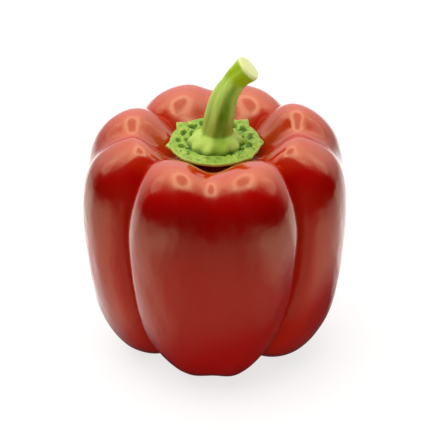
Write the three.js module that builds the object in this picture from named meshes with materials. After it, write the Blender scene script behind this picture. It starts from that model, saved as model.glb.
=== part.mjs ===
import * as THREE from "three";

// A bell pepper standing on its four feet: the fruit, the calyx in its hollow and the stalk.
// Millimetres and degrees. +Z is up, the origin is on the table under the middle of the fruit.
// Azimuth 0 is +X and the front is at 270.

const HOLLOW_Z = 69; // flat floor of the hollow that the calyx grows from
const HUB_RADIUS = 7.6; // the calyx where it meets that floor
const CALYX_TOP_Z = 73.8; // flat seat of the stalk's foot
const SEAT_RADIUS = 8.2;
const CALYX_RADIUS = 14.5; // between its points
const RIM_THICKNESS = 1;

const FRUIT_RED = 0xb5231a;
const CALYX_GREEN = 0x94c13d;
const STALK_GREEN = 0x7fa238;

const { clamp, degToRad, lerp, smoothstep } = THREE.MathUtils;

// One number read off a list of them at a share from 0 to 1, on a smooth curve.
function smoothRead(list, share) {
  const last = list.length - 1;
  const at = Math.min(share * last, last - 1e-9);
  const i = Math.floor(at);
  const t = at - i;
  const a = list[Math.max(i - 1, 0)];
  const b = list[i];
  const c = list[i + 1];
  const d = list[Math.min(i + 2, last)];
  return b + 0.5 * t * (c - a + t * (2 * a - 5 * b + 4 * c - d + t * (3 * b - a - 3 * c + d)));
}

// Turns a profile into a closed skin, then moves every point of it to where place(turn, row) says.
// The first and last rows are on the middle line, and turn goes once round from 0 to 1.
function turnedSkin(rows, columns, place) {
  const profile = [];
  for (let row = 0; row < rows; row += 1) {
    const angle = (Math.PI * row) / (rows - 1);
    const end = row === 0 || row === rows - 1;
    profile.push(new THREE.Vector2(end ? 0 : Math.sin(angle), -Math.cos(angle)));
  }
  const skin = new THREE.LatheGeometry(profile, columns);
  const points = skin.attributes.position;
  for (let n = 0; n < points.count; n += 1) {
    const turn = (Math.floor(n / rows) % columns) / columns;
    const [x, y, z] = place(turn, n % rows);
    points.setXYZ(n, x, y, z);
  }
  skin.computeVertexNormals();
  return skin;
}

function solid(name, geometry, color, roughness) {
  const material = new THREE.MeshStandardMaterial({ name, color, roughness, metalness: 0 });
  const mesh = new THREE.Mesh(geometry, material);
  mesh.name = name;
  return mesh;
}

// The fruit. Each list runs from the hollow over the shoulder and down to the blossom end.
const CREST_R = [8, 15.5, 24, 33, 40, 43.1, 43.1, 41.9, 39, 33, 24, 14.5, 6, 0];
const CREST_Z = [69, 71.9, 79.4, 79.8, 73.2, 61.5, 47, 31.5, 17, 5.4, -0.5, 1.6, 6, 7];
const VALLEY_R = [8, 14.5, 21.5, 29.5, 35.1, 36.9, 36.9, 35.7, 31.2, 22.5, 14.5, 8, 4, 0];
const VALLEY_Z = [69, 67.8, 72, 73.2, 67, 56, 43, 30, 17.5, 9.6, 7.2, 6.5, 6.8, 7];
// The dent down the middle of a lobe: how far it goes in and down, and its width as a share of
// half a lobe.
const DENT_IN = [0, 0, 0.5, 2.2, 2.6, 1.3, 0.5, 0.3, 0.5, 1, 0.6, 0, 0, 0];
const DENT_DOWN = [0, 3, 3.7, 3.1, 1, 0, 0, 0, 0, 0, -0.9, 0, 0, 0];
const DENT_WIDTH = [0.3, 0.3, 0.3, 0.22, 0.18, 0.22, 0.28, 0.28, 0.28, 0.28, 0.28, 0.28, 0.28, 0.28];
// How square a lobe is across its back: 2 is round.
const SQUARENESS = [4.5, 4.5, 4, 3.8, 3.8, 3.6, 3.2, 3.2, 3.4, 3.6, 3.6, 3.2, 2.6, 2.2];
// How flat its outer face is: 0 is round about the fruit's middle line and 1 is flat.
const FLATNESS = [0, 0, 0, 0, 0.1, 0.3, 0.4, 0.35, 0.2, 0.05, 0, 0, 0, 0];

// The four lobes anticlockwise from the right. Each starts at a valley, which wanders from its
// azimuth at the top to the one at the bottom and is deeper by so many millimetres just below the
// shoulders, and has a first and a last shoulder. Then come how far the shoulders' crest lies in,
// in millimetres, and two shares: how far the feet stand out, and how deep the dent is.
const LOBES = [
  {
    middle: 0,
    valley: [-40.5, -60],
    deeper: 6,
    reach: [1, 0.99],
    rise: [-0.8, 2.2],
    crest: [4, 2],
    foot: 1,
    dent: 1,
  },
  {
    middle: 90,
    valley: [45, 45.5],
    deeper: 0,
    reach: [0.99, 1],
    rise: [-0.4, -0.4],
    crest: [0, 0],
    foot: 1,
    dent: 0.8,
  },
  {
    middle: 180,
    valley: [135.6, 136],
    deeper: 0,
    reach: [0.98, 1],
    rise: [0.2, -1.1],
    crest: [1.2, 4.3],
    foot: 1,
    dent: 1,
  },
  {
    middle: 268,
    valley: [218.5, 231],
    deeper: 6,
    reach: [1, 1],
    rise: [0.3, 0.2],
    crest: [0, 0],
    foot: 0.95,
    dent: 1,
  },
];
const VALLEY_SOFTNESS = 0.06;
const COLUMNS_PER_LOBE = 18;
const FRUIT_ROWS = 41;

function fruitPoint(turn, row) {
  if (row === FRUIT_ROWS - 1) {
    return [0, 0, HOLLOW_Z];
  }
  const down = 1 - row / (FRUIT_ROWS - 2);
  const number = Math.floor(turn * 4 + 1e-9);
  const lobe = LOBES[number];
  const next = LOBES[(number + 1) % 4];
  const drift = smoothstep(down, 0.3, 0.85);
  const from = lerp(lobe.valley[0], lobe.valley[1], drift);
  const to = lerp(next.valley[0], next.valley[1], drift) + (number === 3 ? 360 : 0);

  // across goes from -1 in one valley over 0 at the lobe's middle to 1 in the next, closer set
  // near the valleys.
  const even = 2 * (turn * 4 - number) - 1;
  const across = even * (1.25 - 0.25 * even * even);
  const side = across < 0 ? lobe.middle - from : to - lobe.middle;
  const azimuth = degToRad(lobe.middle + across * side);
  const flat = 1 + smoothRead(FLATNESS, down) * (1 / Math.cos(degToRad(across * side)) - 1);

  const crestZ = smoothRead(CREST_Z, down);
  const low = down > 0.5 ? smoothstep(30 - crestZ, 0, 30) : 0;
  const half = smoothstep(across, -0.5, 0.5);
  const reach = lerp(lobe.reach[0], lobe.reach[1], half) * lerp(1, lobe.foot, low);
  const shoulder = clamp((crestZ - 40) / 40, 0, 1) * clamp(down / 0.14, 0, 1);
  const rise = lerp(lobe.rise[0], lobe.rise[1], half) * shoulder;

  const bulge = clamp(1 - Math.abs(across) ** smoothRead(SQUARENESS, down), 0, 1) ** 0.8;
  const soft = VALLEY_SOFTNESS;
  const swell = (Math.hypot(bulge, soft) - soft) / (Math.hypot(1, soft) - soft);
  const dent = lobe.dent * Math.exp(-((across / smoothRead(DENT_WIDTH, down)) ** 2));
  const crestIn = lerp(lobe.crest[0], lobe.crest[1], half) * Math.exp(-(((down - 0.24) / 0.07) ** 2));

  const deepening = smoothstep(down, 0.1, 0.3) * (1 - smoothstep(down, 0.3, 0.75));
  const valleyR = smoothRead(VALLEY_R, down) - lerp(lobe.deeper, next.deeper, half) * deepening;
  const valleyZ = smoothRead(VALLEY_Z, down);
  const crestR = (smoothRead(CREST_R, down) - crestIn) * reach * flat;
  const r = lerp(valleyR, crestR, swell) - smoothRead(DENT_IN, down) * dent;
  const z = lerp(valleyZ, crestZ + rise, swell) - smoothRead(DENT_DOWN, down) * dent;
  return row === 0
    ? [0, 0, z]
    : [r * Math.cos(azimuth), r * Math.sin(azimuth), row === FRUIT_ROWS - 2 ? HOLLOW_Z : Math.max(z, 0)];
}

// The calyx: a disc with short points, lifted a little at the back. Pits of uneven size go round
// it outside the stalk's foot in two rough rows, with a raised net between them.
const CALYX_POINTS = [
  [1, 1.1],
  [50, 2.1],
  [95, 1.9],
  [139, 2.1],
  [186, 1.4],
  [228, 0.2],
  [272, 0.2],
  [320, 0.7],
];
const POINT_WIDTH = 9;
const BACK_LIFT = 2.4;
const NET_HEIGHT = 0.5;
// Azimuth, radius, half the length round the disc, and depth of each pit.
const PITS = [
  [15, 11.6, 1.6, 1.1],
  [21, 9.1, 1.1, 0.9],
  [40, 11.6, 1.5, 1.1],
  [49, 9.2, 1.1, 0.8],
  [60, 11.4, 1.4, 1],
  [78, 9.3, 1.1, 0.8],
  [86, 11.8, 1.6, 1],
  [108, 9.2, 1, 0.7],
  [110, 11.9, 1.3, 0.9],
  [128, 11.6, 1.5, 1.1],
  [139, 9.2, 1.2, 0.9],
  [152, 11.5, 1.8, 1.2],
  [169, 9.1, 1.1, 0.8],
  [176, 11.6, 1.3, 0.9],
  [197, 11, 1.6, 1.1],
  [208, 9.1, 1.2, 0.9],
  [225, 11.4, 1, 0.5],
  [238, 9.3, 1.2, 1],
  [252, 9.1, 1, 1],
  [261, 11.1, 1, 0.6],
  [275, 10.9, 1.1, 0.6],
  [287, 9.2, 1, 0.7],
  [304, 9.1, 1.2, 1],
  [313, 11.3, 0.9, 0.4],
  [330, 9.3, 1.3, 1],
  [347, 11.2, 1.8, 1.2],
  [356, 9.2, 0.9, 0.7],
];
const PIT_HALF_WIDTH = 1.15;
const CALYX_COLUMNS = 96;
// Rows of the skin: share of the way from the middle line (0) over the seat (1) to the rim (2),
// and the height over the underside as a share of the thickness there.
const CALYX_SECTION = [
  [0, 0],
  [0.9, 0],
  [1.1, 0],
  [1.45, 0],
  [1.75, 0],
  [2, 0],
  [2, 0.7],
  [1.97, 1],
  [1.87, 1],
  [1.76, 1],
  [1.67, 1],
  [1.59, 1],
  [1.51, 1],
  [1.43, 1],
  [1.35, 1],
  [1.27, 1],
  [1.19, 1],
  [1.1, 1],
  [1, 1],
  [0, 1],
];

function rimRadius(degrees) {
  let radius = CALYX_RADIUS;
  for (const [azimuth, length] of CALYX_POINTS) {
    const off = Math.abs(((degrees - azimuth + 540) % 360) - 180);
    radius += length * clamp(1 - off / POINT_WIDTH, 0, 1);
  }
  return radius;
}

function calyxTop(r, degrees) {
  let deepest = 0;
  for (const [azimuth, radius, halfLength, depth] of PITS) {
    const round = (radius * degToRad(((degrees - azimuth + 540) % 360) - 180)) / halfLength;
    const out = (r - radius) / PIT_HALF_WIDTH;
    deepest = Math.max(deepest, depth * clamp(1 - round * round - out * out, 0, 1) ** 0.7);
  }
  const net = smoothstep(r, 9.1, 10.4) * (1 - smoothstep(r, 12.4, 14));
  return CALYX_TOP_Z + NET_HEIGHT * net - deepest;
}

function calyxPoint(turn, row) {
  const [out, up] = CALYX_SECTION[row];
  const degrees = 360 * turn;
  const azimuth = degToRad(degrees);
  const rim = rimRadius(degrees);
  const r = out < 1 ? out * SEAT_RADIUS : lerp(SEAT_RADIUS, rim, out - 1);
  const hub = smoothstep(r, HUB_RADIUS, 11);
  const under = lerp(HOLLOW_Z, CALYX_TOP_Z - RIM_THICKNESS - 0.9, hub) + 0.9 * smoothstep(r, 10, 14);
  const lift = BACK_LIFT * clamp(Math.sin(azimuth), 0, 1) ** 0.6 * smoothstep(r, 9, 17);
  const flat = out <= 1 && up === 1 ? CALYX_TOP_Z : calyxTop(r, degrees);
  const bottom = r <= HUB_RADIUS ? HOLLOW_Z : under;
  return [r * Math.cos(azimuth), r * Math.sin(azimuth), lerp(bottom, flat, up) + lift];
}

// The stalk: a scalloped foot flat on the calyx, five soft ridges, leaning over to the right,
// and cut square across its end.
const STALK_LINE = new THREE.CatmullRomCurve3(
  [
    [0.1, 0, 73.8],
    [0.9, 0, 79],
    [1.8, 0, 84.2],
    [3.5, 0.1, 90.6],
    [5.3, 0.2, 93.9],
    [7.4, 0.2, 97.1],
    [10.8, 0, 100.4],
  ].map((point) => new THREE.Vector3(...point)),
  false,
  "centripetal",
);
// Share of the way along that line, and the radius there. The cut end is slightly domed.
const STALK_SECTION = [
  [0, 0],
  [0, 8.5],
  [0.026, 8.5],
  [0.052, 8.1],
  [0.078, 7.4],
  [0.1, 6.6],
  [0.12, 5.8],
  [0.138, 5.15],
  [0.16, 4.9],
  [0.22, 4.8],
  [0.32, 4.75],
  [0.43, 4.55],
  [0.54, 4.2],
  [0.64, 3.85],
  [0.73, 3.65],
  [0.81, 3.65],
  [0.88, 3.85],
  [0.95, 4.25],
  [0.985, 4.35],
  [1, 4],
  [1.003, 2.2],
  [1.004, 0],
];
const SCALLOPS = 10;
const RIDGES = 5;
const RIDGE_HEIGHT = 0.06; // as a share of the stalk's radius
const FIRST_RIDGE = 247;
const STALK_COLUMNS = 40;

function stalkPoint(turn, row) {
  const [along, radius] = STALK_SECTION[row];
  const degrees = 360 * turn;
  const azimuth = degToRad(degrees);
  const up = new THREE.Vector3(0, 0, 1);
  up.lerp(STALK_LINE.getTangentAt(Math.min(along, 1)), smoothstep(along, 0.1, 0.5)).normalize();
  const side = new THREE.Vector3(1, 0, 0);
  side.addScaledVector(up, -side.dot(up)).normalize();
  const back = new THREE.Vector3().crossVectors(up, side);

  const foot = 1 - smoothstep(along, 0.04, 0.13);
  const scallop = 0.06 * foot * Math.cos(SCALLOPS * azimuth);
  const grown = smoothstep(along, 0.13, 0.3) * (1 - 0.7 * smoothstep(along, 0.8, 1));
  const ridge = RIDGE_HEIGHT * grown * Math.cos(RIDGES * degToRad(degrees - FIRST_RIDGE));
  const r = radius * (1 + scallop + ridge);
  const at = STALK_LINE.getPointAt(Math.min(along, 1));
  at.addScaledVector(up, Math.max(along - 1, 0) * STALK_LINE.getLength());
  at.addScaledVector(side, r * Math.cos(azimuth)).addScaledVector(back, r * Math.sin(azimuth));
  return [at.x, at.y, along === 0 ? CALYX_TOP_Z : at.z];
}

const group = new THREE.Group();
group.name = "bell_pepper";
group.add(
  solid("fruit", turnedSkin(FRUIT_ROWS, 4 * COLUMNS_PER_LOBE, fruitPoint), FRUIT_RED, 0.25),
  solid("calyx", turnedSkin(CALYX_SECTION.length, CALYX_COLUMNS, calyxPoint), CALYX_GREEN, 0.55),
  solid("stalk", turnedSkin(STALK_SECTION.length, STALK_COLUMNS, stalkPoint), STALK_GREEN, 0.5),
);

export default group;
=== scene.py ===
import math

import bmesh
import bpy
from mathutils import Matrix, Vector, noise


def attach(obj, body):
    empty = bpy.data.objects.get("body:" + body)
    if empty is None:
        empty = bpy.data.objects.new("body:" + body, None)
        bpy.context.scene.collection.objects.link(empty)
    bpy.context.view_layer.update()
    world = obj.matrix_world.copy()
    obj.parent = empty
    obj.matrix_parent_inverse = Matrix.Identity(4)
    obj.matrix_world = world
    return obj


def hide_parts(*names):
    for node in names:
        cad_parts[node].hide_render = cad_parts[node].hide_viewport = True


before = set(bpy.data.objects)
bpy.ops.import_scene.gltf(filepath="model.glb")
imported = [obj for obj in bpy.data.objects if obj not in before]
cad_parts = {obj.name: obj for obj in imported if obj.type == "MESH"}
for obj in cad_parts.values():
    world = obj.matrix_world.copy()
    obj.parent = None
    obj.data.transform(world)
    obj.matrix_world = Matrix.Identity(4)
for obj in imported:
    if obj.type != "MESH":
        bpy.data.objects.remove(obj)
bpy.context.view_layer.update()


# The fruit. One grown skin in four lobes, each with two shoulders at the top and two low points
# at the bottom; a hollow takes the calyx, and the valleys between the lobes meet again under
# the fruit. The skin is red, waxy and glossy, more orange in the hollow. Its red is darker in a
# band below the shoulders as painted shade, and lighter on the shoulder tops and, a touch more
# orange, in the valleys as painted light.
HOLLOW_Z = 69
# One number for each of 14 stations, from the hollow over the shoulder to the blossom end.
CREST_R = [8, 15.5, 24, 33, 40, 43.1, 43.1, 41.9, 39, 33, 24, 14.5, 6, 0]
CREST_Z = [69, 71.9, 79.4, 79.8, 73.2, 61.5, 47, 31.5, 17, 5.4, -0.5, 1.6, 6, 7]
VALLEY_R = [8, 14.5, 21.5, 29.5, 35.1, 36.9, 36.9, 35.7, 31.2, 22.5, 14.5, 8, 4, 0]
VALLEY_Z = [69, 67.8, 72, 73.2, 67, 56, 43, 30, 17.5, 9.6, 7.2, 6.5, 6.8, 7]
DENT_IN = [0, 0, 0.5, 2.2, 2.6, 1.3, 0.5, 0.3, 0.5, 1, 0.6, 0, 0, 0]
DENT_DOWN = [0, 3, 3.7, 3.1, 1, 0, 0, 0, 0, 0, -0.9, 0, 0, 0]
DENT_WIDTH = [0.3, 0.3, 0.3, 0.22, 0.18, 0.22, 0.28, 0.28, 0.28, 0.28, 0.28, 0.28, 0.28, 0.28]
SQUARENESS = [4.5, 4.5, 4, 3.8, 3.8, 3.6, 3.2, 3.2, 3.4, 3.6, 3.6, 3.2, 2.6, 2.2]
FLATNESS = [0, 0, 0, 0, 0.1, 0.3, 0.4, 0.35, 0.2, 0.05, 0, 0, 0, 0]
# Each lobe's middle, its first valley's azimuth high up and low down, how much deeper that valley
# is just below the shoulders, its reach, rise and crest shift on the first and the last side, and
# the shares of the common foot and dent.
LOBES = [
    (0, (-40.5, -60), 6, (1, 0.99), (-0.8, 2.2), (4, 2), 1, 1),
    (90, (45, 45.5), 0, (0.99, 1), (-0.4, -0.4), (0, 0), 1, 0.8),
    (180, (135.6, 136), 0, (0.98, 1), (0.2, -1.1), (1.2, 4.3), 1, 1),
    (268, (218.5, 231), 6, (1, 1), (0.3, 0.2), (0, 0), 0.95, 1),
]
VALLEY_SOFTNESS = 0.06
BULGE_POWER = 0.8
COLUMN_CROWDING = 0.25
CREASE_WIDTH = 0.22
RISE_FROM_Z = 40
RISE_HEIGHT = 40
FOOT_Z = 30
# Shares of the way down the skin, from the hollow at 0 to the blossom end at 1.
EVENING_STEP = 0.024
VALLEY_DRIFT = (0.3, 0.85)
DEEPER_BY = (0.1, 0.3)
DEEPER_UNTIL = (0.3, 0.75)
CREST_SHIFT_AT = 0.24
CREST_SHIFT_WIDTH = 0.07
FULL_RISE_AT = 0.14
# Faint waves in the skin, drawn out upright and calmer over the shoulders.
SKIN_WAVE_MM = 0.4
WAVE_LENGTH_MM = 10
SMALL_WAVE_LENGTH_MM = 4.5
SMALL_WAVE_SHARE = 0.4
SMALL_WAVE_SHIFT = Vector((7, 3, 1))
WAVE_STRETCH = 0.45
WAVES_FROM_TOP = (0.02, 0.1)
WAVES_FROM_END = (0.02, 0.2)
SHOULDER_WAVE_SHARE = 0.35
FULL_WAVES_BY = (0.3, 0.45)
LEAST_REACH_MM = 20
SKIN_COLUMNS = 360
SKIN_ROWS = 210
MM = 0.001


def clamp(x, low=0.0, high=1.0):
    return min(max(x, low), high)


def lerp(a, b, t):
    return a + (b - a) * t


def smoothstep(x, low, high):
    t = clamp((x - low) / (high - low))
    return t * t * (3 - 2 * t)


def smooth_read(numbers, share):
    last = len(numbers) - 1
    at = min(share * last, last - 1e-9)
    i = int(at)
    t = at - i
    a, b = numbers[max(i - 1, 0)], numbers[i]
    c, d = numbers[i + 1], numbers[min(i + 2, last)]
    return b + 0.5 * t * (c - a + t * (2 * a - 5 * b + 4 * c - d + t * (3 * b - a - 3 * c + d)))


def easy_read(numbers, share):
    """The same curve with its bends evened out over a third of a station each way."""
    step = min(EVENING_STEP, share, 1 - share)
    spots = (-1, -0.5, 0, 0.5, 1)
    return sum(smooth_read(numbers, clamp(share + step * k)) for k in spots) / len(spots)


def turned_skin(name, columns, rows, place, marks):
    """A ball of columns and rows whose points go where place(turn, share) says, in millimetres.
    turn goes once round and share from the top pole to the bottom one, both from 0 to 1."""
    bm = bmesh.new()
    bmesh.ops.create_uvsphere(bm, u_segments=columns, v_segments=rows, radius=1)
    layers = [bm.verts.layers.float.new(mark) for mark in marks]
    for v in bm.verts:
        share = math.acos(clamp(v.co.z, -1, 1)) / math.pi
        share = round(share * rows) / rows
        turn = (math.atan2(v.co.y, v.co.x) / math.tau) % 1
        turn = round(turn * columns) % columns / columns
        spot, values = place(turn, share)
        v.co = Vector(spot) * MM
        for layer, value in zip(layers, values):
            v[layer] = value
    bmesh.ops.recalc_face_normals(bm, faces=bm.faces)
    mesh = bpy.data.meshes.new(name)
    bm.to_mesh(mesh)
    bm.free()
    mesh.shade_smooth()
    piece = bpy.data.objects.new(name, mesh)
    bpy.context.scene.collection.objects.link(piece)
    return piece


fruit_lists = (
    CREST_R, CREST_Z, VALLEY_R, VALLEY_Z, DENT_IN, DENT_DOWN, DENT_WIDTH, SQUARENESS, FLATNESS,
)
fruit_rows = []
for row in range(SKIN_ROWS + 1):
    down = max(row - 1, 0) / (SKIN_ROWS - 1)
    fruit_rows.append([down] + [easy_read(numbers, down) for numbers in fruit_lists])


def fruit_place(turn, share):
    row = round(share * SKIN_ROWS)
    down, crest_r, crest_z, valley_r, valley_z = fruit_rows[row][:5]
    dent_in, dent_down, dent_width, square, flat = fruit_rows[row][5:]
    number = int(turn * 4)
    middle, valley, deeper, reach, rise, crest, foot, dent_share = LOBES[number]
    next_valley, next_deeper = LOBES[(number + 1) % 4][1:3]
    drift = smoothstep(down, *VALLEY_DRIFT)
    start = lerp(*valley, drift)
    end = lerp(*next_valley, drift) + (360 if number == 3 else 0)
    even = 2 * (turn * 4 - number) - 1
    across = even * (1 + COLUMN_CROWDING - COLUMN_CROWDING * even * even)
    off = math.radians(across * (middle - start if across < 0 else end - middle))
    azimuth = math.radians(middle) + off

    low = smoothstep(FOOT_Z - crest_z, 0, FOOT_Z) if down > 0.5 else 0
    half = smoothstep(across, -0.5, 0.5)
    shoulder = clamp((crest_z - RISE_FROM_Z) / RISE_HEIGHT) * clamp(down / FULL_RISE_AT)
    crest_z += lerp(*rise, half) * shoulder
    deepening = smoothstep(down, *DEEPER_BY) * (1 - smoothstep(down, *DEEPER_UNTIL))
    valley_r -= lerp(deeper, next_deeper, half) * deepening
    shift = math.exp(-(((down - CREST_SHIFT_AT) / CREST_SHIFT_WIDTH) ** 2))
    crest_r -= lerp(*crest, half) * shift
    crest_r *= lerp(*reach, half) * lerp(1, foot, low) * (1 + flat * (1 / math.cos(off) - 1))
    bulge = clamp(1 - abs(across) ** square) ** BULGE_POWER
    soft = VALLEY_SOFTNESS
    swell = (math.hypot(bulge, soft) - soft) / (math.hypot(1, soft) - soft)
    dent = dent_share * math.exp(-((across / dent_width) ** 2))
    r = lerp(valley_r, crest_r, swell) - dent_in * dent
    z = lerp(valley_z, crest_z, swell) - dent_down * dent

    spot = Vector((r * math.cos(azimuth), r * math.sin(azimuth), z))
    tall = Vector((spot.x, spot.y, spot.z * WAVE_STRETCH))
    small_wave = noise.noise(tall / SMALL_WAVE_LENGTH_MM + SMALL_WAVE_SHIFT)
    wave = noise.noise(tall / WAVE_LENGTH_MM) + SMALL_WAVE_SHARE * small_wave
    fade = smoothstep(down, *WAVES_FROM_TOP) * smoothstep(1 - down, *WAVES_FROM_END)
    fade *= lerp(SHOULDER_WAVE_SHARE, 1, smoothstep(down, *FULL_WAVES_BY))
    spot *= 1 + SKIN_WAVE_MM * wave * fade / max(spot.length, LEAST_REACH_MM)
    crease = math.exp(-(((1 - abs(across)) / CREASE_WIDTH) ** 2))
    if row == 0:
        return (0, 0, HOLLOW_Z), (crease, 0)
    if row == SKIN_ROWS:
        return (0, 0, z), (crease, 1)
    return (spot.x, spot.y, HOLLOW_Z if row == 1 else max(spot.z, 0)), (crease, down)


fruit = turned_skin("fruit_skin", SKIN_COLUMNS, SKIN_ROWS, fruit_place, ("crease", "down"))


def material(name):
    made = bpy.data.materials.new(name)
    made.use_nodes = True
    nodes = made.node_tree.nodes
    nodes.clear()
    output = nodes.new("ShaderNodeOutputMaterial")
    shader = nodes.new("ShaderNodeBsdfPrincipled")
    made.node_tree.links.new(shader.outputs["BSDF"], output.inputs["Surface"])
    return made, made.node_tree, shader


def feed(tree, value, socket):
    if isinstance(value, bpy.types.NodeSocket):
        tree.links.new(value, socket)
    else:
        socket.default_value = value


def math_of(tree, operation, a, b=0.0):
    node = tree.nodes.new("ShaderNodeMath")
    node.operation = operation
    feed(tree, a, node.inputs[0])
    feed(tree, b, node.inputs[1])
    return node.outputs[0]


def ramp_of(tree, value, low, high, to_low=0.0, to_high=1.0):
    node = tree.nodes.new("ShaderNodeMapRange")
    node.interpolation_type = "SMOOTHSTEP"
    feed(tree, value, node.inputs["Value"])
    node.inputs["From Min"].default_value = low
    node.inputs["From Max"].default_value = high
    node.inputs["To Min"].default_value = to_low
    node.inputs["To Max"].default_value = to_high
    return node.outputs["Result"]


def mix_of(tree, share, a, b):
    node = tree.nodes.new("ShaderNodeMix")
    node.data_type = "RGBA"
    feed(tree, share, node.inputs[0])
    feed(tree, a, node.inputs[6])
    feed(tree, b, node.inputs[7])
    return node.outputs[2]


def mark_of(tree, name):
    node = tree.nodes.new("ShaderNodeAttribute")
    node.attribute_name = name
    return node.outputs["Fac"]


def noise_of(tree, scale, stretch=(1, 1, 1), detail=3.0, rough=0.5):
    spots = tree.nodes.new("ShaderNodeTexCoord")
    mapping = tree.nodes.new("ShaderNodeMapping")
    mapping.inputs["Scale"].default_value = stretch
    tree.links.new(spots.outputs["Object"], mapping.inputs["Vector"])
    node = tree.nodes.new("ShaderNodeTexNoise")
    node.inputs["Scale"].default_value = scale
    node.inputs["Detail"].default_value = detail
    node.inputs["Roughness"].default_value = rough
    tree.links.new(mapping.outputs["Vector"], node.inputs["Vector"])
    return node.outputs["Fac"]


def bump_of(tree, height, distance, strength=1.0, under=None):
    node = tree.nodes.new("ShaderNodeBump")
    node.inputs["Distance"].default_value = distance
    node.inputs["Strength"].default_value = strength
    feed(tree, height, node.inputs["Height"])
    if under is not None:
        tree.links.new(under, node.inputs["Normal"])
    return node.outputs["Normal"]


# Painted shade: the deep red darkens a band below the shoulders.
SHADE_PAINTED_RED = (0.22, 0.0008, 0.0006, 1)
CLEAR_RED = (0.36, 0.0015, 0.001, 1)
BAND_RED = (0.40, 0.001, 0.0008, 1)
# Painted light: the top red lightens the shoulder tops.
TOP_LIT_RED = (0.50, 0.014, 0.002, 1)
# Painted light: the crease red makes the valleys lighter and a touch more orange.
CREASE_LIT_RED = (0.5, 0.012, 0.004, 1)
HOLLOW_ORANGE = (0.42, 0.038, 0.003, 1)
PATCH_SHARE = 0.25
CREASE_SHARE = 0.7
# Shares of the way down the skin between which each colour comes in.
CLEAR_BELOW = (0.33, 0.48)
BAND_ABOVE = (0.35, 0.28)
TOP_ABOVE = (0.29, 0.24)
ORANGE_ABOVE = (0.17, 0.03)
WAX_ROUGHNESS = (0.12, 0.2)
WAX_IOR = 1.62
WARM_GLOSS = (1, 0.88, 0.52, 1)
GRAIN_DEPTH = 0.0002
DIMPLE_DEPTH = 0.0025
# The shoulders are smoother: the least share of the dimples, and where they are at their full.
SHOULDER_DIMPLES = 0.15
FULL_DIMPLES_BY = (0.25, 0.4)

skin_finish, tree, shader = material("waxy_red_skin")
down = mark_of(tree, "down")
patches = ramp_of(tree, noise_of(tree, 45, (1, 1, 0.5), 4), 0.35, 0.7, 0, PATCH_SHARE)
lower = math_of(tree, "MAXIMUM", patches, ramp_of(tree, down, *CLEAR_BELOW))
# Darker red as painted shade in a band below the shoulders, clearer red lower down.
colour = mix_of(tree, lower, SHADE_PAINTED_RED, CLEAR_RED)
creases = math_of(tree, "MULTIPLY", mark_of(tree, "crease"), CREASE_SHARE)
# Painted light in the valleys.
colour = mix_of(tree, creases, colour, CREASE_LIT_RED)
colour = mix_of(tree, ramp_of(tree, down, *BAND_ABOVE), colour, BAND_RED)
# Painted light on the shoulder tops.
colour = mix_of(tree, ramp_of(tree, down, *TOP_ABOVE), colour, TOP_LIT_RED)
colour = mix_of(tree, ramp_of(tree, down, *ORANGE_ABOVE), colour, HOLLOW_ORANGE)
feed(tree, colour, shader.inputs["Base Color"])
streaks = noise_of(tree, 220, (1, 1, 0.15), 3)
feed(tree, ramp_of(tree, streaks, 0.3, 0.75, *WAX_ROUGHNESS), shader.inputs["Roughness"])
shader.inputs["IOR"].default_value = WAX_IOR
shader.inputs["Specular Tint"].default_value = WARM_GLOSS
fine = bump_of(tree, noise_of(tree, 420, (1, 1, 0.3), 3), GRAIN_DEPTH, 0.3)
dimples = noise_of(tree, 60, (1, 1, 0.6), 3)
uneven = math_of(tree, "MULTIPLY", dimples, ramp_of(tree, down, *FULL_DIMPLES_BY, SHOULDER_DIMPLES, 1))
feed(tree, bump_of(tree, uneven, DIMPLE_DEPTH, 0.5, fine), shader.inputs["Normal"])
fruit.data.materials.append(skin_finish)
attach(fruit, "root")
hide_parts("fruit")


# The calyx. A fleshy green disc with short points, grown out of the floor of the hollow and
# lifted a little at the back. Two staggered rows of pits go round the stalk's foot with a raised
# net between them, and its thin edge is pale. Its green is darkened with painted shade in the
# pits, in the dimples and in a ring round the stalk's foot.
HUB_RADIUS = 7.6
CALYX_TOP_Z = 73.8
SEAT_RADIUS = 8.2
CALYX_RADIUS = 14.5
RIM_THICKNESS = 1
UNDER_RISE = 0.9
# Azimuth and length of each point.
CALYX_POINTS = [
    (1, 1.1), (50, 2.1), (95, 1.9), (139, 2.1), (186, 1.4), (228, 0.2), (272, 0.2), (320, 0.7),
]
POINT_WIDTH = 9
BACK_LIFT = 2.4
# Heights, and the radii between which the net, the dimples and the shade at the foot change.
NET_HEIGHT = 0.5
DIMPLE_MM = 0.3
RIB_HEIGHT = 0.6
NET_FROM = (9.1, 10.4)
NET_UNTIL = (12.4, 14)
DIMPLES_FROM = (8.7, 9.4)
FOOT_SHADE_UNTIL = (8.6, 10)
# Azimuth, radius, half the length round the disc, and depth of each pit.
PITS = [
    (15, 11.6, 1.6, 1.1), (21, 9.1, 1.1, 0.9), (40, 11.6, 1.5, 1.1), (49, 9.2, 1.1, 0.8),
    (60, 11.4, 1.4, 1), (78, 9.3, 1.1, 0.8), (86, 11.8, 1.6, 1), (108, 9.2, 1, 0.7),
    (110, 11.9, 1.3, 0.9), (128, 11.6, 1.5, 1.1), (139, 9.2, 1.2, 0.9), (152, 11.5, 1.8, 1.2),
    (169, 9.1, 1.1, 0.8), (176, 11.6, 1.3, 0.9), (197, 11, 1.6, 1.1), (208, 9.1, 1.2, 0.9),
    (225, 11.4, 1, 0.5), (238, 9.3, 1.2, 1), (252, 9.1, 1, 1), (261, 11.1, 1, 0.6),
    (275, 10.9, 1.1, 0.6), (287, 9.2, 1, 0.7), (304, 9.1, 1.2, 1), (313, 11.3, 0.9, 0.4),
    (330, 9.3, 1.3, 1), (347, 11.2, 1.8, 1.2), (356, 9.2, 0.9, 0.7),
]
PIT_HALF_WIDTH = 1.15
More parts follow.
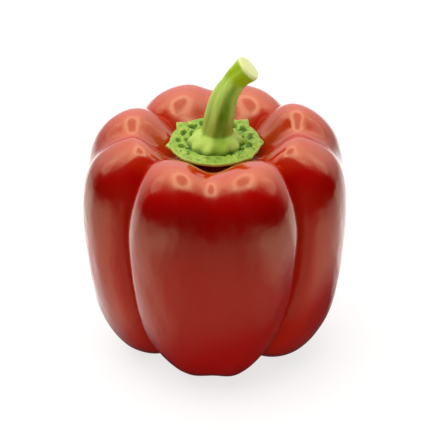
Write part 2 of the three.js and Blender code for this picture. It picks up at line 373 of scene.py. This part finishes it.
PIT_POWER = 0.7
FULL_SHADE_DEPTH = 1.1
# How far the pits' outlines stray round the disc and across it, and over what length.
STRAY_ROUND = 0.7
STRAY_ACROSS = 0.6
STRAY_LENGTH = 1.7
CALYX_COLUMNS = 416
CALYX_ROWS = 130
# Share of the way from the middle line (0) over the seat (1) to the rim (2), and the height over
# the underside as a share of the thickness there.
CALYX_SECTION = [
    (0, 1), (1, 1), (1.25, 1), (1.5, 1), (1.75, 1), (1.97, 1),
    (2, 0.75), (2, 0.25), (1.96, 0), (1.6, 0), (1.1, 0), (0.9, 0), (0, 0),
]
CALYX_SHARES = [0, 0.05, 0.22, 0.42, 0.62, 0.76, 0.79, 0.81, 0.83, 0.88, 0.93, 0.96, 1]


def section_read(shares, section, share):
    for (s0, s1, a, b) in zip(shares, shares[1:], section, section[1:]):
        if share <= s1:
            t = (share - s0) / (s1 - s0)
            return [lerp(p, q, t) for p, q in zip(a, b)]
    return section[-1]


def rim_radius(degrees):
    radius = CALYX_RADIUS
    for azimuth, length in CALYX_POINTS:
        off = abs((degrees - azimuth + 540) % 360 - 180)
        radius += length * clamp(1 - off / POINT_WIDTH)
    return radius


def calyx_place(turn, share):
    out, up = section_read(CALYX_SHARES, CALYX_SECTION, share)
    degrees = 360 * turn
    azimuth = math.radians(degrees)
    rim = rim_radius(degrees)
    r = out * SEAT_RADIUS if out < 1 else lerp(SEAT_RADIUS, rim, out - 1)
    spot = Vector((r * math.cos(azimuth), r * math.sin(azimuth), 0))
    stray_round = STRAY_ROUND * noise.noise(spot / STRAY_LENGTH)
    stray_across = STRAY_ACROSS * noise.noise(spot / STRAY_LENGTH + Vector((9, 4, 2)))
    deepest = 0
    for pit_azimuth, pit_radius, half_length, depth in PITS:
        off = math.radians((degrees - pit_azimuth + 540) % 360 - 180)
        along = (pit_radius * off + stray_round) / half_length
        away = (r - pit_radius + stray_across) / PIT_HALF_WIDTH
        deepest = max(deepest, depth * clamp(1 - along * along - away * away) ** PIT_POWER)
    outside = smoothstep(r, *DIMPLES_FROM)
    dimples = smoothstep(noise.noise(spot / 0.8 + Vector((3, 8, 5))), 0.15, 0.6) * outside
    dimples *= 1 - smoothstep(out, 1.85, 1.97)
    net = smoothstep(r, *NET_FROM) * (1 - smoothstep(r, *NET_UNTIL))
    ribs = 0.5 * noise.noise(spot / 1.5) * net + 0.12 * noise.noise(spot * 1.6) * outside
    top = CALYX_TOP_Z + NET_HEIGHT * net - deepest - DIMPLE_MM * dimples + ribs * RIB_HEIGHT
    hub = smoothstep(r, HUB_RADIUS, 11)
    under = lerp(HOLLOW_Z, CALYX_TOP_Z - RIM_THICKNESS - UNDER_RISE, hub)
    under += UNDER_RISE * smoothstep(r, 10, 14)
    lift = BACK_LIFT * clamp(math.sin(azimuth)) ** 0.6 * smoothstep(r, 9, 17)
    flat = CALYX_TOP_Z if out <= 1 and up == 1 else top
    bottom = HOLLOW_Z if r <= HUB_RADIUS else under
    # Painted shade: darker in the pits by their depth, in the dimples and round the stalk's foot.
    foot_shade = 1 - smoothstep(r, *FOOT_SHADE_UNTIL)
    shade = max(deepest / FULL_SHADE_DEPTH, 0.5 * dimples, 0.75 * foot_shade)
    edge = smoothstep(out, 1.92, 1.99)
    return (spot.x, spot.y, lerp(bottom, flat, up) + lift), (shade * up, edge)


calyx = turned_skin("calyx_disc", CALYX_COLUMNS, CALYX_ROWS, calyx_place, ("painted_calyx_shade", "edge"))

CALYX_GREEN = (0.20, 0.36, 0.017, 1)
CALYX_YELLOW = (0.33, 0.47, 0.045, 1)
# The green of the painted shade in the pits, the dimples and round the stalk's foot.
PIT_SHADE_GREEN = (0.045, 0.13, 0.003, 1)
EDGE_PALE = (0.42, 0.52, 0.10, 1)
EDGE_SHARE = 0.7
CALYX_ROUGHNESS = (0.42, 0.6)
PLANT_IOR = 1.42
PLANT_GRAIN_DEPTH = 0.0003

calyx_finish, tree, shader = material("pitted_green_calyx")
mottle = ramp_of(tree, noise_of(tree, 420, detail=3), 0.35, 0.65)
colour = mix_of(tree, mottle, CALYX_GREEN, CALYX_YELLOW)
# Painted shade in the pits, the dimples and round the stalk's foot.
colour = mix_of(tree, ramp_of(tree, mark_of(tree, "painted_calyx_shade"), 0.05, 0.9), colour, PIT_SHADE_GREEN)
edges = math_of(tree, "MULTIPLY", mark_of(tree, "edge"), EDGE_SHARE)
colour = mix_of(tree, edges, colour, EDGE_PALE)
feed(tree, colour, shader.inputs["Base Color"])
feed(tree, ramp_of(tree, noise_of(tree, 600), 0.3, 0.7, *CALYX_ROUGHNESS), shader.inputs["Roughness"])
shader.inputs["IOR"].default_value = PLANT_IOR
grain = noise_of(tree, 900, detail=3)
feed(tree, bump_of(tree, grain, PLANT_GRAIN_DEPTH, 0.6), shader.inputs["Normal"])
calyx.data.materials.append(calyx_finish)
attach(calyx, "root")
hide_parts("calyx")


# The stalk. It grows from the calyx with a scalloped foot, has five soft ridges, leans over to
# one side and was cut across its end. It is pale green, with painted shade in olive between the
# ridges and in a broad stripe down its front, a darker green as painted shade on the front of
# its foot and in its grooves, and almost white on the cut.
STALK_LINE = [
    (0.1, 0, 73.8), (0.9, 0, 79), (1.8, 0, 84.2), (3.5, 0.1, 90.6),
    (5.3, 0.2, 93.9), (7.4, 0.2, 97.1), (10.8, 0, 100.4),
]
# Share of the stalk's length, and its radius there.
STALK_SECTION = [
    (0, 0), (0, 8.5), (0.026, 8.5), (0.052, 8.1), (0.078, 7.4), (0.1, 6.6), (0.12, 5.8),
    (0.138, 5.15), (0.16, 4.9), (0.22, 4.8), (0.32, 4.75), (0.43, 4.55), (0.54, 4.2),
    (0.64, 3.85), (0.73, 3.65), (0.81, 3.65), (0.88, 3.85), (0.95, 4.25), (0.985, 4.35),
    (1, 4), (1.003, 2.2), (1.004, 0),
]
LINE_STEPS = 240
SCALLOPS = 10
SCALLOP_DEPTH = 0.06
RIDGES = 5
RIDGE_HEIGHT = 0.06
FIRST_RIDGE = 247
KNOB_HEIGHT = 0.03
GROOVE_DARKNESS = 0.45
# Azimuth and half width, in degrees, of the darkest stripe of painted shade.
STRIPE_AZIMUTH = 279
STRIPE_WIDTH = 28
STALK_COLUMNS = 240
STALK_ROWS = 168


def line_read(share):
    """Point and direction at a share of the stalk's length, by equal lengths along the curve."""
    by_axis = [[p[n] for p in STALK_LINE] for n in range(3)]
    shares = [k / LINE_STEPS for k in range(LINE_STEPS + 1)]
    points = [Vector([smooth_read(numbers, s) for numbers in by_axis]) for s in shares]
    lengths = [0.0]
    for a, b in zip(points, points[1:]):
        lengths.append(lengths[-1] + (b - a).length)
    want = share * lengths[-1]
    k = next((n for n in range(LINE_STEPS) if lengths[n + 1] >= want), LINE_STEPS - 1)
    t = (want - lengths[k]) / (lengths[k + 1] - lengths[k])
    return points[k].lerp(points[k + 1], t), (points[k + 1] - points[k]).normalized()


stalk_length = sum((Vector(b) - Vector(a)).length for a, b in zip(STALK_LINE, STALK_LINE[1:]))
stalk_rows = []
for row in range(STALK_ROWS + 1):
    at = (1 - row / STALK_ROWS) * (len(STALK_SECTION) - 1)
    i = min(int(at), len(STALK_SECTION) - 2)
    along, radius = (lerp(STALK_SECTION[i][n], STALK_SECTION[i + 1][n], at - i) for n in range(2))
    if 2 < at < len(STALK_SECTION) - 4:
        radius = smooth_read([s[1] for s in STALK_SECTION], at / (len(STALK_SECTION) - 1))
    centre, direction = line_read(min(along, 1))
    up = Vector((0, 0, 1)).lerp(direction, smoothstep(along, 0.1, 0.5)).normalized()
    centre += up * max(along - 1, 0) * stalk_length
    side = Vector((1, 0, 0))
    side = (side - up * side.dot(up)).normalized()
    stalk_rows.append((along, radius, centre, side, up.cross(side)))


def stalk_place(turn, share):
    along, radius, centre, side, back = stalk_rows[round(share * STALK_ROWS)]
    azimuth = math.tau * turn
    foot = 1 - smoothstep(along, 0.04, 0.13)
    scallop = SCALLOP_DEPTH * foot * math.cos(SCALLOPS * azimuth)
    grown = smoothstep(along, 0.13, 0.3) * (1 - 0.7 * smoothstep(along, 0.8, 1))
    ridge = math.cos(RIDGES * (azimuth - math.radians(FIRST_RIDGE)))
    body = smoothstep(along, 0.02, 0.06) * (1 - smoothstep(along, 0.96, 0.985))
    knobs = noise.noise(Vector((3 * math.cos(azimuth), 3 * math.sin(azimuth), 5 * along)))
    r = radius * (1 + scallop + RIDGE_HEIGHT * grown * ridge + KNOB_HEIGHT * knobs * body)
    spot = centre + side * (r * math.cos(azimuth)) + back * (r * math.sin(azimuth))
    if along == 0:
        spot.z = CALYX_TOP_Z
    # Painted shade: a broad stripe down the front, and the grooves between the ridges.
    off = (360 * turn - STRIPE_AZIMUTH + 540) % 360 - 180
    shade_stripe = math.exp(-((off / STRIPE_WIDTH) ** 2))
    painted_stalk_shade = (0.5 - 0.5 * ridge) * GROOVE_DARKNESS
    return spot, (max(shade_stripe, painted_stalk_shade), along)


stalk = turned_skin("cut_stalk", STALK_COLUMNS, STALK_ROWS, stalk_place, ("painted_stalk_shade", "along"))

# The olive and the foot's darker green are painted shade.
STALK_GREEN = (0.43, 0.63, 0.10, 1)
STALK_SHADE_OLIVE = (0.10, 0.27, 0.002, 1)
STALK_PALE = (0.58, 0.76, 0.17, 1)
FOOT_GREEN = (0.45, 0.66, 0.13, 1)
FOOT_SHADE = (0.20, 0.38, 0.02, 1)
NECK_GREEN = (0.33, 0.50, 0.006, 1)
CUT_PALE = (0.78, 0.83, 0.36, 1)
PALE_FIBRES = 0.6
STALK_ROUGHNESS = (0.38, 0.5)
GREEN_GLOSS = (0.9, 1, 0.12, 1)
# Shares of the stalk's length between which the foot, the neck and the cut end take over.
FOOT_BELOW = (0.17, 0.11)
NECK_ABOVE = (0.74, 0.83)
CUT_ABOVE = (0.95, 0.985)

stalk_finish, tree, shader = material("ridged_green_stalk")
along = mark_of(tree, "along")
painted_stalk_shade = mark_of(tree, "painted_stalk_shade")
fibres = ramp_of(tree, noise_of(tree, 420, (1, 1, 0.12), 3), 0.3, 0.7)
colour = mix_of(tree, math_of(tree, "MULTIPLY", fibres, PALE_FIBRES), STALK_GREEN, STALK_PALE)
blotches = ramp_of(tree, noise_of(tree, 260, (1, 1, 0.3), 3), 0.3, 0.6, 0.55, 1)
# Painted shade in olive, weaker higher up the stalk and broken into blotches.
fading_stalk_shade = math_of(tree, "MULTIPLY", painted_stalk_shade, ramp_of(tree, along, 0.75, 0.3, 0.6, 1))
shade_stripe = math_of(tree, "MULTIPLY", ramp_of(tree, fading_stalk_shade, 0.12, 0.85), blotches)
colour = mix_of(tree, shade_stripe, colour, STALK_SHADE_OLIVE)
ragged = math_of(tree, "ADD", along, math_of(tree, "MULTIPLY", fibres, 0.02))
# Painted shade on the foot's front and in its grooves.
foot_colour = mix_of(tree, ramp_of(tree, painted_stalk_shade, 0.3, 0.95, 0, 0.7), FOOT_GREEN, FOOT_SHADE)
colour = mix_of(tree, ramp_of(tree, ragged, *FOOT_BELOW), colour, foot_colour)
# The neck's green comes in fully where the painted shade lies, half elsewhere.
neck = ramp_of(tree, painted_stalk_shade, 0.05, 0.35, 0.5, 1)
neck = math_of(tree, "MULTIPLY", ramp_of(tree, along, *NECK_ABOVE), neck)
colour = mix_of(tree, neck, colour, NECK_GREEN)
colour = mix_of(tree, ramp_of(tree, along, *CUT_ABOVE), colour, CUT_PALE)
feed(tree, colour, shader.inputs["Base Color"])
feed(tree, ramp_of(tree, fibres, 0, 1, *STALK_ROUGHNESS), shader.inputs["Roughness"])
shader.inputs["IOR"].default_value = PLANT_IOR
shader.inputs["Specular Tint"].default_value = GREEN_GLOSS
grain = noise_of(tree, 700, (1, 1, 0.15), 3)
feed(tree, bump_of(tree, grain, PLANT_GRAIN_DEPTH, 0.5), shader.inputs["Normal"])
stalk.data.materials.append(stalk_finish)
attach(stalk, "root")
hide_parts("stalk")


# The table top. A plain white sheet that it all stands on, white to the camera. It also glows,
# though it is no lamp: in the skin it shows as a painted reflection of a room, dim close by as a
# painted shadow and dim straight ahead, brighter at the sides and brightest behind, and dimmer
# again farther off; and it throws painted light up onto the fruit, most from straight ahead.
TABLE_HALF_WIDTH = 3
TABLE_COLOUR = 0.8
TABLE_ROUGHNESS = 0.9
# To the camera its glow and what it throws back add up to plain white.
WHITE_GLOW = 0.75
WHITE_COLOUR = 0.3
MIRRORED_AHEAD = 0.33
MIRRORED_BESIDE = 1.35
MIRRORED_BEHIND = 0.8
# Distances from the middle, in metres, over which the mirrored sheet changes.
WEDGE_WIDENS = (0.11, 0.22)
FAR_FROM = (0.15, 0.7)
NEAR_UNTIL = (0.035, 0.085)

bm = bmesh.new()
bmesh.ops.create_grid(bm, x_segments=1, y_segments=1, size=TABLE_HALF_WIDTH)
mesh = bpy.data.meshes.new("table_top")
bm.to_mesh(mesh)
bm.free()
table_top = bpy.data.objects.new("table_top", mesh)
bpy.context.scene.collection.objects.link(table_top)
table_finish, tree, shader = material("white_sheet")
rays = tree.nodes.new("ShaderNodeLightPath")
seen = rays.outputs["Is Camera Ray"]
spots = tree.nodes.new("ShaderNodeTexCoord")
parts = tree.nodes.new("ShaderNodeSeparateXYZ")
tree.links.new(spots.outputs["Object"], parts.inputs[0])
sideways = math_of(tree, "ABSOLUTE", parts.outputs["X"])
ahead = math_of(tree, "MAXIMUM", math_of(tree, "MULTIPLY", parts.outputs["Y"], -1), 0.03)
reach = tree.nodes.new("ShaderNodeVectorMath")
reach.operation = "LENGTH"
tree.links.new(spots.outputs["Object"], reach.inputs[0])
wider = ramp_of(tree, reach.outputs["Value"], *WEDGE_WIDENS, 1, 2.1)
wedge = math_of(tree, "MULTIPLY", math_of(tree, "DIVIDE", sideways, ahead), wider)
behind = ramp_of(tree, parts.outputs["Y"], 0, 0.03)
wedge = math_of(tree, "MAXIMUM", ramp_of(tree, wedge, 0.15, 1.6), behind)
far = ramp_of(tree, reach.outputs["Value"], *FAR_FROM)
leaning = math_of(tree, "MULTIPLY", parts.outputs["X"], 0.4)
near = math_of(tree, "SUBTRACT", reach.outputs["Value"], leaning)
near = ramp_of(tree, near, *NEAR_UNTIL, 0.05, 1)
near = math_of(tree, "MAXIMUM", near, behind)
in_front = math_of(tree, "MULTIPLY", math_of(tree, "SUBTRACT", 1, far), MIRRORED_AHEAD)
beside = math_of(tree, "SUBTRACT", MIRRORED_BESIDE, math_of(tree, "MULTIPLY", far, 0.6))
rear = ramp_of(tree, parts.outputs["Y"], -0.02, 0.06, 0, MIRRORED_BEHIND)
beside = math_of(tree, "ADD", beside, rear)
mirrored = math_of(tree, "MULTIPLY", mix_of(tree, wedge, in_front, beside), near)
thrown = math_of(tree, "MULTIPLY", rays.outputs["Is Diffuse Ray"], TABLE_COLOUR)
thrown = math_of(tree, "ADD", thrown, math_of(tree, "MULTIPLY", seen, WHITE_COLOUR))
feed(tree, thrown, shader.inputs["Base Color"])
shader.inputs["Emission Color"].default_value = (1, 1, 1, 1)
# The glow the skin mirrors: a painted reflection, dimmed close by as a painted shadow.
glow = math_of(tree, "MULTIPLY", mirrored, rays.outputs["Is Glossy Ray"])
# Painted light thrown up onto the fruit, most from straight ahead.
spread = ramp_of(tree, wedge, 0, 1, 0.45, 0.12)
spread = math_of(tree, "MULTIPLY", rays.outputs["Is Diffuse Ray"], spread)
glow = math_of(tree, "ADD", glow, spread)
glow = math_of(tree, "ADD", glow, math_of(tree, "MULTIPLY", seen, WHITE_GLOW))
feed(tree, glow, shader.inputs["Emission Strength"])
shader.inputs["Roughness"].default_value = TABLE_ROUGHNESS
shader.inputs["Specular IOR Level"].default_value = 0.1
table_top.data.materials.append(table_finish)


# The light. What the skin mirrors is a wide bright sheet overhead, which ends a little in front,
# has a dimmer middle and its front corners cut off, and softer light low at the sides and behind.
# The colours are lit by one soft light from above, a little to the left, and a weak one all round.
SHEET_STRENGTH = 3.7
SHEET_INNER_STRENGTH = 2.3
SHEET_FRONT_EDGE = (-0.57, -0.26)
SHEET_MIDDLE_SHARE = 0.38
SHEET_CORNER_SHARE = 0.1
SURROUND_STRENGTH = (1.1, 2.6)
# Two small lights, left and right: the right one's direction, and the cosines at its edge.
BESIDE_DIRECTION = (0.776, 0.137, 0.616)
BESIDE_EDGE = (0.965, 0.985)
BESIDE_STRENGTH = 1.6
SOFT_STRENGTH = 3.0
SOFT_EDGE = (0.7, 0.92)
SOFT_REST = (0.1, 0.5)
LIGHT_COLOUR = (1, 0.98, 0.95, 1)

world = bpy.data.worlds.new("studio")
bpy.context.scene.world = world
world.use_nodes = True
tree = world.node_tree
sky = tree.nodes["Background"]
looking = tree.nodes.new("ShaderNodeTexCoord")
parts = tree.nodes.new("ShaderNodeSeparateXYZ")
tree.links.new(looking.outputs["Generated"], parts.inputs[0])
x, y, z = (parts.outputs[n] for n in range(3))
flat = math_of(tree, "SQRT", math_of(tree, "SUBTRACT", 1.0001, math_of(tree, "MULTIPLY", z, z)))
ahead = math_of(tree, "DIVIDE", y, flat)

aside = math_of(tree, "ABSOLUTE", x)
lean = math_of(tree, "DIVIDE", y, math_of(tree, "MAXIMUM", z, 0.2))
sheet = ramp_of(tree, z, 0.3, 0.85, 0, SHEET_STRENGTH)
sheet = math_of(tree, "ADD", sheet, ramp_of(tree, z, 0.86, 0.92, 0, SHEET_INNER_STRENGTH))
sheet = math_of(tree, "MULTIPLY", sheet, ramp_of(tree, lean, *SHEET_FRONT_EDGE))
sheet = math_of(tree, "MULTIPLY", sheet, ramp_of(tree, z, 0.975, 0.95, SHEET_MIDDLE_SHARE, 1))
corner = math_of(tree, "SUBTRACT", aside, math_of(tree, "MULTIPLY", y, 0.5))
sheet = math_of(tree, "MULTIPLY", sheet, ramp_of(tree, corner, 0.75, 0.45, SHEET_CORNER_SHARE, 1))
surround = ramp_of(tree, z, 0, 0.75, *SURROUND_STRENGTH)
surround = math_of(tree, "MULTIPLY", ramp_of(tree, ahead, 0, 0.65), surround)
beside = math_of(tree, "MULTIPLY", aside, BESIDE_DIRECTION[0])
beside = math_of(tree, "ADD", beside, math_of(tree, "MULTIPLY", y, BESIDE_DIRECTION[1]))
beside = math_of(tree, "ADD", beside, math_of(tree, "MULTIPLY", z, BESIDE_DIRECTION[2]))
beside = ramp_of(tree, beside, *BESIDE_EDGE, 0, BESIDE_STRENGTH)
mirrored = math_of(tree, "ADD", math_of(tree, "MAXIMUM", sheet, surround), beside)

leaning = math_of(tree, "SUBTRACT", z, math_of(tree, "MULTIPLY", x, 0.15))
soft = ramp_of(tree, leaning, *SOFT_EDGE, 0, SOFT_STRENGTH)
soft = math_of(tree, "MAXIMUM", soft, ramp_of(tree, ahead, -0.35, 0.6, *SOFT_REST))
rays = tree.nodes.new("ShaderNodeLightPath")
either = tree.nodes.new("ShaderNodeMix")
feed(tree, rays.outputs["Is Glossy Ray"], either.inputs[0])
feed(tree, soft, either.inputs[2])
feed(tree, mirrored, either.inputs[3])
feed(tree, either.outputs[0], sky.inputs["Strength"])
sky.inputs["Color"].default_value = LIGHT_COLOUR


# The camera, in front and about 30 degrees above.
LENS_MM = 166.4
SENSOR_MM = 36
CAMERA_HEIGHT = math.radians(30)
CAMERA_DISTANCE = 0.65
AIM = Vector((0, 0.0031, 0.0454))

lens = bpy.data.cameras.new("camera")
lens.lens = LENS_MM
lens.sensor_width = SENSOR_MM
camera = bpy.data.objects.new("camera", lens)
bpy.context.scene.collection.objects.link(camera)
back = Vector((0, -math.cos(CAMERA_HEIGHT), math.sin(CAMERA_HEIGHT)))
camera.location = AIM + back * CAMERA_DISTANCE
camera.rotation_euler = back.to_track_quat("Z", "Y").to_euler()
bpy.context.scene.camera = camera
bpy.context.scene.view_settings.view_transform = "Standard"
